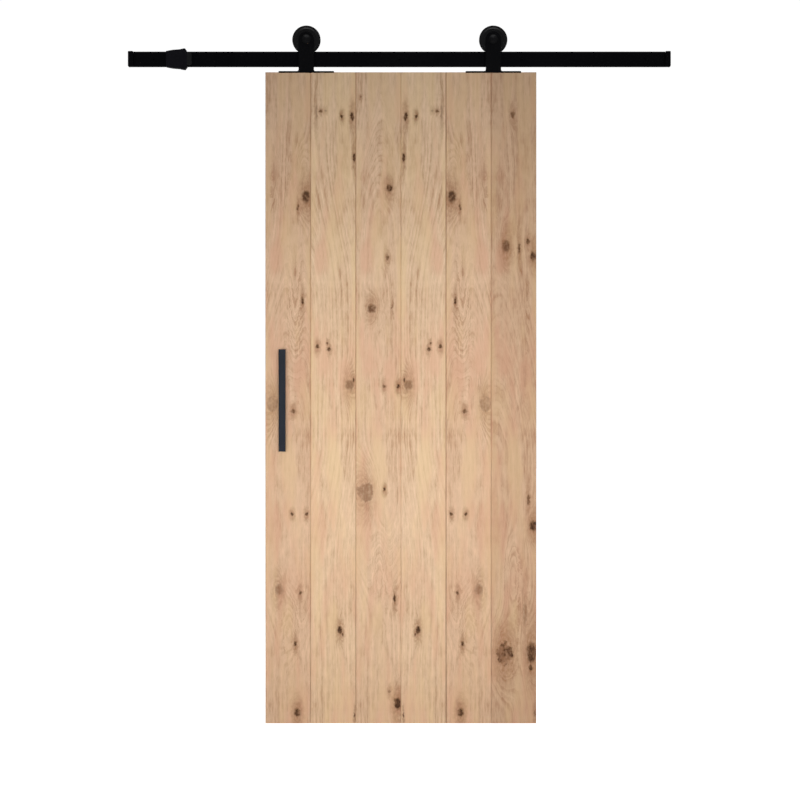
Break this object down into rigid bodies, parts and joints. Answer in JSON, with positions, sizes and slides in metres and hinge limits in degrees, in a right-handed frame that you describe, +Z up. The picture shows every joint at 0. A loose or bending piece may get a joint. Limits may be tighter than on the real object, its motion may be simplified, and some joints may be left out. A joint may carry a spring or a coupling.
{
  "type": "top-hung sliding board door",
  "caption": "Top-hung sliding door of upright knotty oak boards, hanging by grooved wheels on a flat black wall rail, with a black bar pull and a clamped end stop.",
  "frame": {"origin": "on the wall plane, at the axis of the middle wall screw, which is the middle of the rail and its centreline", "axes": "+Z up, +X along the rail to the right seen from the room, +Y into the wall; the door hangs on the -Y side"},
  "size_m": [1.764, 0.157, 2.2689],
  "materials": {
    "oak": "matt oiled knotty oak",
    "oak_plain": "planed oak",
    "black_steel": "matt black powder coat",
    "wheel_black": "satin black coat on turned steel",
    "black_screw": "satin black",
    "handle_black": "satin blue-black coat",
    "zinc_steel": "zinc plated",
    "bearing_steel": "ground and polished",
    "cage_nylon": "moulded nylon",
    "rubber": "moulded rubber"
  },
  "bodies": {
    "rail": {"rail_bar": "black_steel", "end_cap_left": "black_steel", "end_cap_right": "black_steel", "end_cap_screws": "zinc_steel", "wall_spacers": "black_steel", "wall_screws": "black_screw", "stop_front_jaw": "black_steel", "stop_rear_jaw": "black_steel", "stop_bumper": "rubber", "stop_screws": "zinc_steel"},
    "door": {"board_1": "oak", "board_2": "oak", "board_3": "oak", "board_4": "oak", "board_5": "oak", "board_6": "oak", "spline_1": "oak_plain", "spline_2": "oak_plain", "spline_3": "oak_plain", "spline_4": "oak_plain", "spline_5": "oak_plain", "ledge_top": "oak_plain", "ledge_middle": "oak_plain", "ledge_bottom": "oak_plain", "ledge_screws": "zinc_steel", "handle_grip": "handle_black", "handle_post_top": "handle_black", "handle_post_bottom": "handle_black", "handle_bolts": "black_screw", "hanger_plate_left": "black_steel", "hanger_plate_right": "black_steel", "hanger_strap_left": "black_steel", "hanger_strap_right": "black_steel", "hanger_screws": "zinc_steel", "axle_bolt_left": "black_screw", "axle_bolt_right": "black_screw", "axle_sleeves_left": "zinc_steel", "axle_sleeves_right": "zinc_steel", "axle_washer_left": "zinc_steel", "axle_washer_right": "zinc_steel", "axle_nut_left": "black_screw", "axle_nut_right": "black_screw", "bearing_inner_left": "bearing_steel", "bearing_inner_right": "bearing_steel"},
    "wheel_left": {"wheel_left": "wheel_black", "bearing_outer_left": "bearing_steel", "bearing_shields_left": "zinc_steel"},
    "wheel_right": {"wheel_right": "wheel_black", "bearing_outer_right": "bearing_steel", "bearing_shields_right": "zinc_steel"},
    "balls_left": {"bearing_balls_left": "bearing_steel", "bearing_cage_left": "cage_nylon"},
    "balls_right": {"bearing_balls_right": "bearing_steel", "bearing_cage_right": "cage_nylon"}
  },
  "joints": [
    {"name": "door_slide", "type": "slide", "parent": "rail", "child": "door", "axis": [1, 0, 0], "range_m": [-0.347, 0.533]},
    {"name": "wheel_left_spin", "type": "hinge", "parent": "door", "child": "wheel_left", "pos_m": [-0.3024, -0.036, 0.0634], "axis": [0, 1, 0], "range_deg": [-525, 805]},
    {"name": "wheel_right_spin", "type": "hinge", "parent": "door", "child": "wheel_right", "pos_m": [0.3056, -0.036, 0.0634], "axis": [0, 1, 0], "range_deg": [-525, 805]},
    {"name": "balls_left_spin", "type": "hinge", "parent": "door", "child": "balls_left", "pos_m": [-0.3024, -0.036, 0.0634], "axis": [0, 1, 0], "range_deg": [-326, 499]},
    {"name": "balls_right_spin", "type": "hinge", "parent": "door", "child": "balls_right", "pos_m": [0.3056, -0.036, 0.0634], "axis": [0, 1, 0], "range_deg": [-326, 499]}
  ],
  "couplings": [
    {"joint": "wheel_left_spin", "follows": "door_slide", "rad_per_m": 26.247},
    {"joint": "wheel_right_spin", "follows": "door_slide", "rad_per_m": 26.247},
    {"joint": "balls_left_spin", "follows": "door_slide", "rad_per_m": 16.247},
    {"joint": "balls_right_spin", "follows": "door_slide", "rad_per_m": 16.247}
  ]
}
